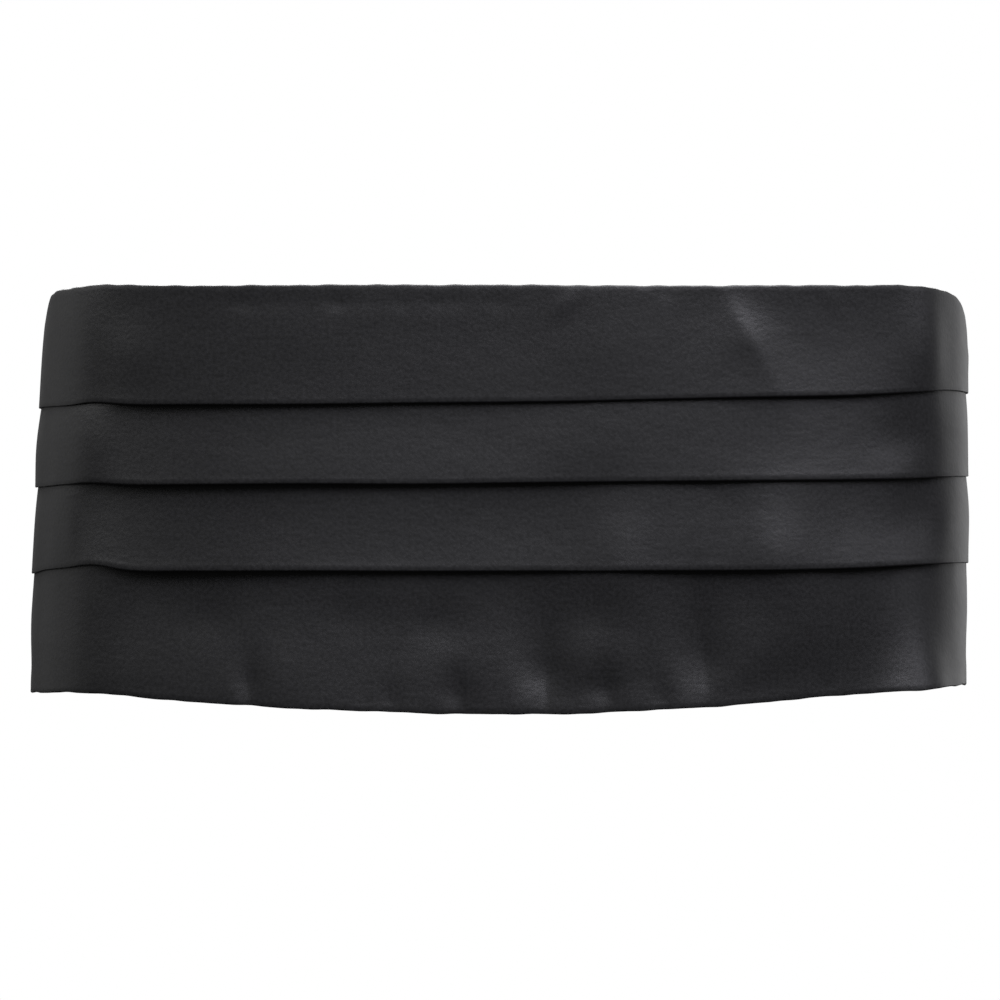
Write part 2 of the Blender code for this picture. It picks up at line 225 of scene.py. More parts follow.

# %% [markdown]
# ## Creases
# Satin is stiff and shiny, so a crease barely a millimetre deep shows. They are placed one by one. There are
# two kinds. A ray starts at a point, such as a pulled stitch at the hem, and fans out as it dies away, often
# steep on one side and gentle on the other. The strongest ones in front are crisp: cut across, they are a
# sharp valley or ridge and not a round one, because taut cloth breaks along a line. A swell is a soft oval
# hill or hollow.
#
# The light comes from above, so cloth that faces up a little is bright. A pucker that deepens as it rises, or
# a ridge that grows as it falls, faces up over its start. That shows as a bright fan, with a dark patch
# beyond it where the ray dies away. Rays and swells move the cloth along the waist's normal, and all the
# layers at one place alike, so no layer crosses another.

# %% Rays, in millimetres and degrees
# Along and height of the start, heading, length, width on the left at the start and at the end, the same on
# the right, the share of the depth that it starts with, how far out it goes, and 1 if it is crisp.
RAYS = (
    # Puckers of the hem, over the front.
    (-73.4, -62.5, 93, 27, 4.5, 12.0, 8.0, 14.0, 0.6, -1.80, 1),
    (-40.0, -63.5, 92, 13, 1.4, 3.0, 3.0, 6.0, 0.5, -0.30, 0),
    (-31.0, -63.8, 97, 15, 8.0, 12.0, 6.0, 8.0, 0.6, -0.70, 1),
    (-11.4, -64.2, 98, 21, 7.0, 13.0, 9.0, 10.0, 0.6, -1.35, 1),
    (13.2, -64.5, 89, 48, 8.5, 26.0, 15.0, 48.0, 0.42, -3.20, 1),
    (32.4, -63.6, 97, 24, 7.0, 14.0, 7.0, 10.0, 0.5, -1.40, 1),
    (48.6, -63.0, 98, 15, 6.0, 9.0, 6.0, 8.0, 0.6, -0.80, 1),
    (61.2, -62.3, 95, 56, 8.5, 24.0, 19.0, 34.0, 0.38, -3.10, 1),
    (97.0, -60.0, 96, 13, 1.5, 3.5, 3.0, 7.0, 0.5, -0.45, 0),
    # Ridges that rise to the right from the two deepest of them.
    (14.5, -55.5, 27, 46, 12.0, 22.0, 5.0, 18.0, 0.2, 0.75, 0),
    (60.0, -57.0, 37, 66, 16.0, 30.0, 6.0, 30.0, 0.2, 0.90, 0),
    # Pulls from the top edge, over the front.
    (49.0, 65.0, 262, 8, 1.0, 2.2, 2.5, 5.0, 0.5, -0.30, 0),
    (65.8, 62.5, 298, 56, 18.0, 66.0, 8.0, 28.0, 0.2, 1.75, 1),
    (96.0, 65.0, 300, 14, 4.0, 8.0, 1.2, 3.0, 0.5, 0.30, 0),
    # Similar ones round the sides and the back.
    (-178.0, -60.0, 80, 26, 2.4, 7.0, 6.0, 18.0, 0.5, -1.10, 0),
    (-214.0, -59.5, 101, 30, 2.6, 8.0, 7.0, 22.0, 0.5, -1.50, 0),
    (-262.0, -49.5, 95, 20, 2.2, 6.0, 6.0, 16.0, 0.5, -0.90, 0),
    (-196.0, 51.0, 265, 20, 2.0, 5.0, 5.0, 14.0, 0.5, -0.70, 0),
    (-247.0, 42.5, 285, 22, 8.0, 20.0, 3.0, 9.0, 0.2, 0.80, 0),
    (176.0, -58.0, 100, 24, 2.2, 6.0, 6.0, 17.0, 0.5, -1.10, 0),
    (203.0, -58.5, 86, 32, 2.6, 8.0, 8.0, 24.0, 0.5, -1.60, 0),
    (249.0, -52.5, 99, 22, 2.2, 6.0, 6.0, 18.0, 0.5, -0.95, 0),
    (188.0, 51.5, 282, 22, 7.0, 18.0, 3.0, 9.0, 0.2, 0.80, 0),
    (238.0, 43.5, 262, 18, 2.0, 5.0, 5.0, 12.0, 0.5, -0.60, 0),
)
print("rays:", len(RAYS), "crisp:", sum(row[-1] for row in RAYS))

# %% Swells, in millimetres and degrees
# Along and height of the middle, half length, half height, turned, and how far out it goes.
SWELLS = (
    # The widest line of the left side, and a soft turn at each side.
    (-158.0, 0.0, 34.0, 95.0, 0, 1.00),
    (-126.0, 0.0, 7.0, 95.0, 0, 0.25),
    (137.0, 0.0, 6.0, 95.0, 0, 0.30),
    # The hem stands off the waist over the left half of the front, and at the right corner.
    (-66.0, -66.0, 76.0, 23.0, 0, 2.30),
    (137.0, -71.0, 17.0, 22.0, -8, 2.60),
    (122.0, -66.0, 9.0, 27.0, -6, 2.70),
    (131.0, -67.0, 9.0, 26.0, 0, 2.60),
    # The lowest strip fills out beside and between its puckers, and sinks in before the right corner.
    (-102.0, -60.0, 30.0, 20.0, 0, 0.50),
    (100.0, -64.0, 22.0, 22.0, 0, -1.20),
    (110.0, -27.0, 26.0, 16.0, 0, 0.70),
    (24.0, -45.0, 12.0, 9.0, 0, 0.80),
    (24.0, -62.0, 22.0, 14.0, 0, 0.55),
    (-104.0, -46.0, 16.0, 12.0, 0, 0.60),
    (-66.0, -50.0, 16.0, 10.0, 0, 0.45),
    (-6.0, -50.0, 20.0, 9.0, 5, 0.55),
    (2.0, -64.0, 50.0, 9.0, 0, 0.80),
    # The second strip fills out over the left half of the front.
    (-50.0, 8.0, 85.0, 14.0, 0, 0.45),
    # The top strip sinks in a little at the right of the front, and comes out where it turns.
    (92.0, 47.0, 42.0, 15.0, 0, -0.55),
    (130.0, 46.0, 9.0, 19.0, 0, 1.90),
    # Small soft patches of the strips.
    (19.5, 58.5, 6.0, 2.2, 45, 0.35),
    (-108.0, 44.0, 9.0, 9.0, 20, 0.38),
    (36.0, -19.0, 9.0, 15.0, 0, 0.90),
    (82.0, -18.0, 9.0, 15.0, 0, 1.00),
    (106.0, -19.0, 8.0, 13.0, 0, 0.25),
    (123.0, 18.5, 11.0, 7.5, 8, -0.65),
    (127.0, -5.0, 11.0, 9.0, 8, -0.65),
    (-86.0, -36.0, 9.0, 7.0, 0, -0.40),
    (-44.0, -35.0, 10.0, 7.0, 0, -0.40),
    (-18.0, -37.0, 8.0, 7.0, 0, -0.40),
    # The sides and the back.
    (-190.0, 15.0, 30.0, 9.0, 6, 0.50),
    (-232.0, -8.0, 26.0, 9.0, -8, -0.45),
    (-205.0, -40.0, 34.0, 12.0, 12, 0.60),
    (-282.0, 12.0, 18.0, 8.0, 0, 0.40),
    (186.0, -5.0, 26.0, 9.0, -10, 0.50),
    (228.0, 18.0, 28.0, 9.0, 6, -0.45),
    (214.0, -38.0, 30.0, 11.0, -12, 0.60),
    (280.0, -6.0, 20.0, 9.0, 5, 0.40),
)
print("swells:", len(SWELLS))

# %% How the creases move the cloth
DEEPEST_FROM = 0.35
RAY_COMES_IN = (-0.5, -0.1)
UNEVENNESS = 0.16 * MM
UNEVEN_LENGTH, UNEVEN_HEIGHT, UNEVEN_SLICE = 0.034, 0.017, 4.0


def half_wave(share):
    """1 at 0 and 0 from 1 on, as half a cosine wave."""
    return 0.5 + 0.5 * np.cos(math.pi * np.clip(share, 0.0, 1.0))


def ray(along, height, row):
    """How far one ray moves the cloth out."""
    from_along, from_height, heading, length, left, left_end, right, right_end, start, out, crisp = row
    cosine, sine = math.cos(math.radians(heading)), math.sin(math.radians(heading))
    east, up = along / MM - from_along, height / MM - from_height
    share = (east * cosine + up * sine) / length
    grown = np.clip(share, 0.0, 1.0)
    aside = (east * sine - up * cosine) * math.copysign(1.0, sine)
    width = np.where(aside < 0, left + (left_end - left) * grown, right + (right_end - right) * grown)
    reach = np.clip(np.abs(aside) / width, 0.0, 1.0)
    across = (1.0 - reach) ** 2 if crisp else half_wave(reach)
    deep = (start + (1.0 - start) * ease(share, 0.0, DEEPEST_FROM)) * half_wave(share)
    return out * MM * across * deep * ease(share, *RAY_COMES_IN)


def swell(along, height, row):
    """How far one swell moves the cloth out."""
    middle, level, half_length, half_height, turned, out = row
    cosine, sine = math.cos(math.radians(turned)), math.sin(math.radians(turned))
    east, up = along / MM - middle, height / MM - level
    lengthways = (east * cosine + up * sine) / half_length
    upright = (up * cosine - east * sine) / half_height
    return out * MM * np.exp(-(lengthways**2 + upright**2))


def creased(along, height):
    """How far all the creases together move the cloth out, with a slight unevenness everywhere."""
    total = sum(ray(along, height, row) for row in RAYS)
    total = total + sum(swell(along, height, row) for row in SWELLS)
    uneven = [noise.noise(Vector((a / UNEVEN_LENGTH, h / UNEVEN_HEIGHT, UNEVEN_SLICE)))
              for a, h in zip(np.ravel(along), np.ravel(height))]
    return total + UNEVENNESS * np.reshape(uneven, np.shape(along))


middle_of_hem = float(creased(np.array([0.0]), np.array([heights_at(0.0)[0][-1]]))[0])
print("the creases move the hem's middle out by, mm:", round(middle_of_hem / MM, 2))

# %% [markdown]
# ## One section through the face
# Cut the sash across and look at the cut edge: one line of satin that runs down a strip, turns round the
# fold, climbs a little behind it, turns again and runs down the next strip. Three such zigzags make the four
# strips, and both raw edges are turned in. The section is drawn in (out, height), from the top's turned-in
# edge to the hem's. Every section has the same number of points, so the sections can be joined into a net.

# %% Sizes of the cloth and its layers
# The cloth, and how much of it is folded away behind a fold and turned in at the top and the hem.
CLOTH, LAYER_PITCH, EDGE_ROLL = 0.30 * MM, 0.34 * MM, 0.30 * MM
UNDERLAY, FOLDED_SHARE = 8.0 * MM, 0.36
TOP_TURN_IN, HEM_TURN_IN = 6.5 * MM, 10.0 * MM

# How far out the folds stand: further over the front, and sewn down flat at the two ends.
OUTER_FACE, FRONT_STANDS_OFF = 5.1 * MM, 1.0 * MM
STANDS_OFF_WITHIN, STANDS_OFF_BEYOND = 0.112, 0.140
ENDS_SEWN_DOWN_FROM, END_LAYER = 0.280, 2.4 * MM

# How far out the top and the hem are, which stay behind the folds.
EDGE_IN_FRONT, EDGE_BEHIND_OUTER, EDGE_DRAWN_IN = 4.4 * MM, 0.5 * MM, (0.100, 0.150)

# A fold is tight or springs open, and under a tight one the next strip comes out faster.
TIGHT_FOLD, OPEN_FOLD = 0.17 * MM, 0.42 * MM
TIGHT_BELOW, OPEN_ABOVE = 0.1 * MM, 1.1 * MM
SLOW_BULGE, FAST_BULGE = 1.35, 3.0

# The end on the viewer's left leans in towards its top edge.
LEAN, LEAN_FROM_HEIGHT = 0.042, -0.043
LEAN_RISES, LEAN_FADES = (0.110, 0.165), (0.230, 0.300)

# Points down each strip, and on the parts behind it.
STRIP_STEPS = (26, 17, 17, 27)
TURN_STEPS, RETURN_STEPS, HIDDEN_STEPS, TURN_IN_STEPS = 6, 4, 3, 4
print("three layers of cloth at a fold, mm:", round((CLOTH + 2 * LAYER_PITCH) / MM, 2))

# %% The four strips at a place
def half_turn(out, height, radius, way):
    """Points round a half turn, from outside to inside: under the middle for way -1, over it for 1."""
    turn = np.linspace(0.0, math.pi, TURN_STEPS + 1)
    return np.stack([out + radius * np.cos(turn), height + way * radius * np.sin(turn)], axis=1)


def bulge(share, tight):
    """How far a strip has come out, from 0 at the fold above it to 1 at its own fold."""
    slow = share**SLOW_BULGE
    fast = 1.0 - (1.0 - share) ** FAST_BULGE
    return slow + (fast - slow) * tight


def lean_in(along, height):
    """How far the left end leans in towards the waist."""
    share = ease(-along, *LEAN_RISES) * (1.0 - ease(-along, *LEAN_FADES))
    return share * LEAN * np.maximum(0.0, height - LEAN_FROM_HEIGHT)


def layers_at(along):
    """How far out the middle of the cloth is at the folds and at the top and the hem."""
    outer = OUTER_FACE - CLOTH / 2
    outer += FRONT_STANDS_OFF * (1.0 - ease(abs(along), STANDS_OFF_WITHIN, STANDS_OFF_BEYOND))
    outer -= (outer - END_LAYER) * ease(abs(along), ENDS_SEWN_DOWN_FROM, FACE_END)
    edge = min(EDGE_IN_FRONT, outer - EDGE_BEHIND_OUTER)
    edge += (outer - EDGE_BEHIND_OUTER - edge) * ease(abs(along), *EDGE_DRAWN_IN)
    return outer, edge


def strips_at(along):
    """The four strips as (top, bottom, start, end, tight): heights, ways out, and how tight it starts."""
    heights, openings = heights_at(along)[0], openings_at(along)[0]
    outer, edge = layers_at(along)
    starts = [edge, *(outer - 2 * LAYER_PITCH - openings)]
    ends = [outer, outer, outer, edge]
    tight = 1.0 - ease(openings, TIGHT_BELOW, OPEN_ABOVE)
    return list(zip(heights, heights[1:], starts, ends, [tight[0], *tight]))


def strip_out(strip, height):
    """How far out a strip is at a height, and above it as far as it is hidden."""
    top, bottom, start, end, tight = strip
    return start + (end - start) * bulge(np.clip((top - height) / (top - bottom), 0.0, 1.0), tight)


# %% One section
def section(along):
    """One section of the face as points (out, height)."""
    strips = strips_at(along)
    edge, top = strips[0][2], strips[0][0]
    turn_in = min(TOP_TURN_IN, FOLDED_SHARE * (top - strips[0][1]))
    low, level = top - turn_in, top - CLOTH / 2 - EDGE_ROLL
    back = np.linspace(low, level, TURN_IN_STEPS + 1)[:-1]
    parts = [np.stack([np.full(TURN_IN_STEPS, edge - 2 * EDGE_ROLL), back], axis=1)]
    parts.append(half_turn(edge - EDGE_ROLL, level, EDGE_ROLL, 1)[::-1])
    begin = level
    drops = [each[0] - each[1] for each in strips]
    for index, strip in enumerate(strips):
        top, bottom, start, end, tight = strip
        last = index == len(strips) - 1
        fold = EDGE_ROLL if last else OPEN_FOLD + (TIGHT_FOLD - OPEN_FOLD) * strips[index + 1][4]
        turn_from = bottom + CLOTH / 2 + fold
        down = np.linspace(begin, turn_from, STRIP_STEPS[index] + 1)[1:-1]
        parts.append(np.stack([strip_out(strip, down), down], axis=1))
        parts.append(half_turn(end - fold, turn_from, fold, -1))
        if last:
            turn_in = min(HEM_TURN_IN, FOLDED_SHARE * (top - bottom))
            back = np.linspace(turn_from, bottom + turn_in, TURN_IN_STEPS + 1)[1:]
            inside = np.minimum(end - 2 * fold, strip_out(strip, back) - LAYER_PITCH)
            parts.append(np.stack([inside, back], axis=1))
            break
        # Behind the fold: up to the top of the underlay, over, and down again as the next strip.
        below = strips[index + 1]
        crest = bottom + min(UNDERLAY, FOLDED_SHARE * min(drops))
        hidden = np.linspace(crest, bottom, HIDDEN_STEPS + 1)
        inner = np.minimum(below[2], strip_out(strip, hidden) - 2 * LAYER_PITCH)
        climb = np.linspace(turn_from, crest, RETURN_STEPS + 1)[1:-1]
        line = np.interp(climb, [turn_from, crest], [end - 2 * fold, inner[0] + LAYER_PITCH])
        room = strip_out(strip, climb) - LAYER_PITCH
        parts.append(np.stack([np.minimum(line, room), climb], axis=1))
        parts.append(half_turn(inner[0] + LAYER_PITCH / 2, crest, LAYER_PITCH / 2, 1))
        parts.append(np.stack([inner[1:], hidden[1:]], axis=1))
        begin = bottom
    return np.concatenate(parts)


front_section = section(0.0)
print("points in a section:", len(front_section))
print("unfolded at the centre front, mm:", round(lengths_along(front_section)[-1] / MM, 1))

# %% [markdown]
# ## The net of sections
# The sections stand closer together over the front and where the waist turns, because that is where creases
# and highlights need them. The small ripples of the two sewn edges are added to the heights near each edge,
# and over the left half of the front the raw edge of the top's turn-in marks the cloth with a faint hollow.
# The satin's own pattern must follow the cloth and not the room, so each point also gets a place on the flat
# cloth: how far along it is, and how far down the unfolded section. Those two lengths become its UV map.

# %% Stations and ripples
FACE_STATIONS, FINE_STEPS = 268, 4000
# The step between sections, as a share of the step over the front.
FRONT_STEP, HIDDEN_STEP = 1.0, 2.4
FRONT_WITHIN, HIDDEN_BEYOND = 0.160, 0.185
# Wavelength in millimetres, phase, and the height at the top and at the hem in millimetres.
RIPPLES = ((7.5, 0.4, 0.07, 0.03), (12.0, 2.1, 0.06, 0.05), (21.0, 4.4, 0.05, 0.08), (41.0, 1.2, 0.04, 0.10))
RIPPLE_REACH = 0.009


def wave_along(along, wave, phase):
    """A sine wave along the band, of a wavelength in millimetres."""
    return np.sin(2 * math.pi * along / (wave * MM) + phase)


def stations():
    """Places of the sections along the band."""
    fine = np.linspace(FACE_START, FACE_END, FINE_STEPS + 1)
    step = FRONT_STEP + (HIDDEN_STEP - FRONT_STEP) * ease(np.abs(fine), FRONT_WITHIN, HIDDEN_BEYOND)
    measure = np.concatenate([[0.0], np.cumsum(1.0 / step[1:])])
    return np.interp(np.linspace(0.0, measure[-1], FACE_STATIONS), measure, fine)


def rippled(along, height, top, hem):
    """The heights with the ripples of the sewn edges added."""
    for wave, phase, at_top, at_hem in RIPPLES:
        ripple = wave_along(along, wave, phase)
        height = height + ripple * MM * at_top * np.exp(-((top - height) / RIPPLE_REACH) ** 2)
        height = height + ripple * MM * at_hem * np.exp(-((height - hem) / RIPPLE_REACH) ** 2)
    return height


PLACES = stations()
sections = np.stack([section(place) for place in PLACES])
print("sections:", len(PLACES))

# %% The mark of the turn-in
TURN_IN_SHOWS, TURN_IN_FADE = (-0.095, 0.012), 0.02
TURN_IN_MARK, TURN_IN_REACH = -0.13 * MM, 2.2 * MM
TURN_IN_WAVER = 0.35
# Wavelength in millimetres, and phase.
TURN_IN_WAVES = ((16.0, 1.0), (9.3, 2.6), (27.0, 0.3))


def turn_in_mark(along, below_top):
    """How far the raw edge of the top's turn-in moves the cloth."""
    begin, end = TURN_IN_SHOWS
    marked = ease(along, begin, begin + TURN_IN_FADE) * (1.0 - ease(along, end - TURN_IN_FADE, end))
    for wave, phase in TURN_IN_WAVES:
        marked = marked * (1.0 + TURN_IN_WAVER * wave_along(along, wave, phase))
    return TURN_IN_MARK * marked * np.exp(-((below_top - TOP_TURN_IN + MM) / TURN_IN_REACH) ** 2)


place_grid = np.repeat(PLACES[:, None], sections.shape[1], axis=1)
edge_heights = heights_at(PLACES)
top_grid, hem_grid = edge_heights[:, :1], edge_heights[:, -1:]
height_grid = rippled(place_grid, sections[..., 1], top_grid, hem_grid)
out_grid = sections[..., 0] + creased(place_grid, sections[..., 1]) - lean_in(place_grid, sections[..., 1])
out_grid = out_grid + turn_in_mark(place_grid, top_grid - sections[..., 1])
print("points of the net:", out_grid.shape)

# %% The flat cloth of the face
DOWN_CLOTH = np.stack([lengths_along(each) for each in sections])

# %% From a net to a piece
SHARP_FROM = math.radians(50)


def net(name, points, flat):
    """A mesh of quads over a grid of points, with its UV map from a grid of places on the flat cloth."""
    rows, columns = points.shape[:2]
    index = np.arange(rows * columns).reshape(rows, columns)
    quads = np.stack([index[:-1, :-1], index[:-1, 1:], index[1:, 1:], index[1:, :-1]], axis=-1).reshape(-1, 4)
    mesh = bpy.data.meshes.new(name)
    mesh.from_pydata(points.reshape(-1, 3).tolist(), [], quads.tolist())
    uv_map = mesh.uv_layers.new(name="UVMap")
    uv_map.data.foreach_set("uv", flat.reshape(-1, 2)[quads.ravel()].ravel().astype(np.float32))
    return mesh


def shown(name, mesh):
    """An object in the scene for a mesh, at the origin and unturned."""
    piece = bpy.data.objects.new(name, mesh)
    bpy.context.scene.collection.objects.link(piece)
    return piece


def settle(piece):
    """Turn what a piece's modifiers make into its plain mesh."""
    depsgraph = bpy.context.evaluated_depsgraph_get()
    mesh = bpy.data.meshes.new_from_object(
        piece.evaluated_get(depsgraph), preserve_all_data_layers=True, depsgraph=depsgraph)
    piece.modifiers.clear()
    old, piece.data = piece.data, mesh
    bpy.data.meshes.remove(old)
    mesh.name = piece.name
    mesh.shade_smooth()
    mesh.set_sharp_from_angle(angle=SHARP_FROM)
    print(piece.name, "faces:", len(mesh.polygons))
    return piece


def add_wall(piece, thickness, even):
    """Give an open sheet a thickness, half on each side. An even wall keeps it in tight folds too."""
    wall = piece.modifiers.new("wall", "SOLIDIFY")
    wall.thickness, wall.offset = thickness, 0.0
    wall.use_even_offset = wall.use_quality_normals = even


def set_material(piece, material):
    """Give a piece its one material."""
    piece.data.materials.clear()
    piece.data.materials.append(material)


face_points = on_waist(place_grid, out_grid, height_grid)
face_mesh = net("pleated_face_satin", face_points, np.stack([place_grid, DOWN_CLOTH], axis=-1))
face = shown("pleated_face_satin", face_mesh)
add_wall(face, CLOTH, even=True)
settle(face)

# %% [markdown]
# ## Node helpers
# What repeats or follows a path is made by Geometry Nodes: the ribbed webbing, the wire and the stitches. The
# materials are nodes too. A few helpers keep every tree short: one adds a node and feeds its inputs, one does
# a sum, one starts a tree with named inputs, and one runs a tree on a piece and keeps a plain mesh.

# %% Add a node, and do a sum
def connect(tree, value, socket):
    """Link an input to another node's output, or set it to a value."""
    if isinstance(value, bpy.types.NodeSocket):
        tree.links.new(value, socket)
    else:
        socket.default_value = value


def feed(tree, node, **settings):
    """Set up a node. A word sets the option it is named for, and anything else goes to the input."""
    # Words go first, because an option can change which inputs there are.
    for key, value in sorted(settings.items(), key=lambda item: not isinstance(item[1], str)):
        if isinstance(value, str):
            setattr(node, key, value)
        else:
            label = key.replace("_", " ")
            socket = next(each for each in node.inputs if each.enabled and each.name.lower() == label)
            connect(tree, value, socket)
    return node


def add(tree, kind, **settings):
    """A new node in a tree, set up."""
    return feed(tree, tree.nodes.new(kind), **settings)


def maths(tree, operation, *values):
    """The result of one Math node on outputs or numbers."""
    node = add(tree, "ShaderNodeMath", operation=operation)
    for socket, value in zip(node.inputs, values):
        connect(tree, value, socket)
    return node.outputs[0]


print("node helpers ready")

# %% Start a geometry tree, and run one
def start_tree(name, numbers, counts=(), vectors=()):
    """A new tree with named inputs, a geometry input and a material input: (tree, inputs, output)."""
    tree = bpy.data.node_groups.new(name, "GeometryNodeTree")
    tree.is_modifier = True
    kinds = (("Geometry", ["Geometry"]), ("Float", numbers), ("Int", counts), ("Vector", vectors),
             ("Material", ["Material"]))
    for kind, labels in kinds:
        for label in labels:
            tree.interface.new_socket(label, in_out="INPUT", socket_type="NodeSocket" + kind)
    tree.interface.new_socket("Geometry", in_out="OUTPUT", socket_type="NodeSocketGeometry")
    return tree, tree.nodes.new("NodeGroupInput").outputs, tree.nodes.new("NodeGroupOutput").inputs


def finish_tree(tree, geometry, material, output):
    """End a tree in Realize Instances and Set Material."""
    real = add(tree, "GeometryNodeRealizeInstances", geometry=geometry)
    filled = add(tree, "GeometryNodeSetMaterial", geometry=real.outputs[0], material=material)
    tree.links.new(filled.outputs[0], output["Geometry"])


def run_tree(piece, tree, values):
    """Put a tree on a piece, set its inputs by their identifiers, and keep the result as a plain mesh."""
    modifier = piece.modifiers.new(tree.name, "NODES")
    modifier.node_group = tree
    for item in tree.interface.items_tree:
        if item.in_out == "INPUT" and item.name in values:
            modifier[item.identifier] = values[item.name]
    return settle(piece)


print("tree helpers ready")

# %% [markdown]
# ## Materials
# Satin is woven so that long threads float over the surface, all one way. It hardly scatters light: nearly
# all that shows is a broad, soft reflection. So the base colour is almost black, and the look comes from a
# middling roughness, a little anisotropy along the threads, and very fine bumps. The bumps and the small
# changes of colour follow the UV map, in metres of flat cloth, so they run along the sash and bend with it.

# %% Helpers for materials
USUAL_NOISE = (0.3, 0.7)


def start_material(name, colour, roughness, metallic=0.0):
    """A node material: (material, tree, shader)."""
    material = bpy.data.materials.new(name)
    material.use_nodes = True
    material.diffuse_color = (*colour, 1.0)
    material.roughness = roughness
    material.metallic = metallic
    tree = material.node_tree
    shader = feed(tree, tree.nodes["Principled BSDF"], base_color=(*colour, 1.0), roughness=roughness,
                  metallic=metallic)
    return material, tree, shader


def cloth_places(tree):
    """Places on the flat cloth, in metres."""
    return add(tree, "ShaderNodeUVMap", uv_map="UVMap").outputs["UV"]


def object_places(tree):
    """Places in the object, in metres."""
    return add(tree, "ShaderNodeTexCoord").outputs["Object"]


def noise_on(tree, places, size, detail=2.0):
    """Noise whose features have a size in metres, along each axis of the places."""
    scaled = add(tree, "ShaderNodeMapping", vector=places, scale=[1.0 / side for side in size])
    return add(tree, "ShaderNodeTexNoise", vector=scaled.outputs[0], scale=1.0, detail=detail).outputs["Fac"]


def between(tree, factor, low, high):
    """A number that goes from low to high as a noise goes over its usual range."""
    return add(tree, "ShaderNodeMapRange", value=factor, from_min=USUAL_NOISE[0], from_max=USUAL_NOISE[1],
               to_min=low, to_max=high).outputs["Result"]


def bumped(tree, height, distance, strength, **under):
    """A bump from a height from 0 to 1, over the normal of another bump if one is given."""
    bump = add(tree, "ShaderNodeBump", height=height, distance=distance, strength=strength, **under)
    return bump.outputs["Normal"]


def tinted(tree, factor, low, high):
    """A colour between two, by a factor."""
    mix = add(tree, "ShaderNodeMix", data_type="RGBA", factor=factor, a=(*low, 1.0), b=(*high, 1.0))
    return mix.outputs["Result"]


print("material helpers ready")

# %% Satin
GRAIN = (0.0011, 0.0011, 0.0011)
MOTTLE = (0.0060, 0.0035, 0.0035)
SHEEN_PATCHES = (0.045, 0.020, 0.020)


def satin():
    """Black satin: a soft reflection that is a little stretched across the floating threads."""
    material, tree, shader = start_material("black_satin", (0.010, 0.010, 0.011), 0.40)
    flat = cloth_places(tree)
    grain = noise_on(tree, flat, GRAIN, detail=1.0)
    mottle = noise_on(tree, flat, MOTTLE)
    patches = noise_on(tree, flat, SHEEN_PATCHES)
    speckle = between(tree, grain, 0.0, 1.0)
    rough = maths(tree, "ADD", between(tree, patches, 0.365, 0.405), between(tree, mottle, -0.012, 0.012))
    soft = bumped(tree, mottle, distance=0.00010, strength=0.6)
    rough_threads = bumped(tree, grain, distance=0.00005, strength=0.7, normal=soft)
    threads = add(tree, "ShaderNodeTangent", direction_type="UV_MAP", uv_map="UVMap")
    feed(tree, shader, base_color=tinted(tree, speckle, (0.0075, 0.0075, 0.0080), (0.0145, 0.0145, 0.0155)),
         roughness=rough, normal=rough_threads, specular_ior_level=0.5, anisotropic=0.35,
         tangent=threads.outputs["Tangent"], sheen_weight=0.03, sheen_roughness=0.45)
    return material


SATIN = satin()
set_material(face, SATIN)
print("made", SATIN.name)

# %% [markdown]
# The webbing is a matt narrow weave, and the thread is polished cotton. Both are nearly black. The wire of
# the clasp is plated steel, whose fine scuffs only change how sharp its reflections are.

# %% Webbing, thread and plated wire
WEAVE_PITCH = 0.0011
THREAD_TWIST = (0.0004, 0.0004, 0.0004)
SCUFFS = (0.0012, 0.0012, 0.0060)


def webbing():
    """Matt black webbing, with a fine weave along and across it."""
    material, tree, shader = start_material("black_webbing", (0.012, 0.012, 0.013), 0.75)
    flat = cloth_places(tree)
    # At a scale of 1, a wave texture repeats every pi / 10.
    waves = [add(tree, "ShaderNodeTexWave", bands_direction=direction, vector=flat,
                 scale=math.pi / 10 / WEAVE_PITCH, distortion=0.6, detail=1.0).outputs["Fac"]
             for direction in ("X", "Y")]
    weave = maths(tree, "MULTIPLY", *waves)
    feed(tree, shader, base_color=tinted(tree, weave, (0.007, 0.007, 0.008), (0.022, 0.022, 0.024)),
         normal=bumped(tree, weave, distance=0.00018, strength=0.8), sheen_weight=0.12, sheen_roughness=0.5)
    return material


def thread():
    """Black sewing thread with its twist."""
    material, tree, shader = start_material("black_thread", (0.016, 0.016, 0.017), 0.55)
    twist = noise_on(tree, object_places(tree), THREAD_TWIST)
    feed(tree, shader, base_color=tinted(tree, twist, (0.010, 0.010, 0.011), (0.026, 0.026, 0.028)),
         normal=bumped(tree, twist, distance=0.00004, strength=0.6))
    return material


def plated_wire():
    """Bright plated wire with fine scuffs."""
    material, tree, shader = start_material("plated_wire", (0.60, 0.60, 0.62), 0.25, metallic=1.0)
    scuffs = noise_on(tree, object_places(tree), SCUFFS, detail=4.0)
    feed(tree, shader, base_color=tinted(tree, scuffs, (0.52, 0.52, 0.54), (0.66, 0.66, 0.67)),
         roughness=between(tree, scuffs, 0.18, 0.34),
         normal=bumped(tree, scuffs, distance=0.00002, strength=0.4))
    return material


WEBBING, THREAD, WIRE = webbing(), thread(), plated_wire()
print("made", WEBBING.name, THREAD.name, WIRE.name)

# %% [markdown]
# ## The straps
# Each strap is one length of flat webbing. It is caught under the end of the face, runs round the back, goes
# round the bar of its half of the clasp and is sewn down on itself. The path is worked out once, and a tree
# sweeps a profile along it. The profile is a thin rectangle with small ribs, as elastic webbing has.

